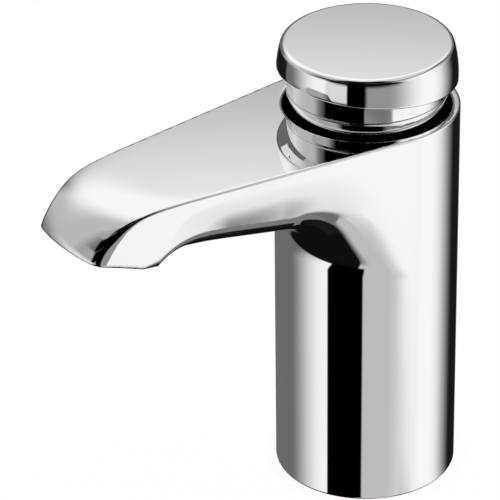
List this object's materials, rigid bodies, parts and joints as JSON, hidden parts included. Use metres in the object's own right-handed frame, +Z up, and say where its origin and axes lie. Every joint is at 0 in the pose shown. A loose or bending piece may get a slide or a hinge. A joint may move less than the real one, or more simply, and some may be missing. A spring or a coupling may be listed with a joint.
{
  "type": "push timed tap",
  "caption": "Self-closing basin tap: round chromed column, flat-topped spout with tilted aerator, and a slant-skirted push button on a sprung timing cartridge.",
  "frame": {"origin": "centre of the base where it stands on the deck, on the column's axis", "axes": "+Z up along the column, the spout points along -Y, X across the spout"},
  "size_m": [0.048, 0.118, 0.1893],
  "materials": {
    "chrome": "polished",
    "brass": "machined",
    "steel": "satin",
    "rubber": "matte",
    "plastic": "matte"
  },
  "bodies": {
    "tap_body": {"body_casting": "chrome", "base_gasket": "rubber", "inlet_tail": "brass", "deck_washer": "rubber", "clamp_washer": "steel", "backnut": "brass", "inlet_strainer": "plastic", "cartridge_housing": "plastic", "cartridge_o_rings": "rubber", "valve_seat": "brass", "bonnet": "brass", "bonnet_washer": "rubber", "spindle_bush": "plastic", "spindle_o_ring": "rubber", "aerator_housing": "chrome", "aerator_seal": "rubber", "aerator_insert": "plastic", "aerator_mesh": "steel", "return_spring": "steel"},
    "button": {"button_cap": "chrome", "button_sleeve": "chrome", "cap_lock_nut": "steel", "spindle": "steel", "piston": "plastic", "piston_cup_seal": "rubber", "piston_nut": "steel", "poppet_holder": "brass", "poppet_washer": "rubber", "poppet_nut": "steel"}
  },
  "joints": [
    {"name": "button_press", "type": "slide", "parent": "tap_body", "child": "button", "axis": [0, 0, -1], "range_m": [0, 0.0045], "stiffness_N_per_m": 1500, "springref_m": -0.012, "deforming": ["return_spring"]}
  ]
}
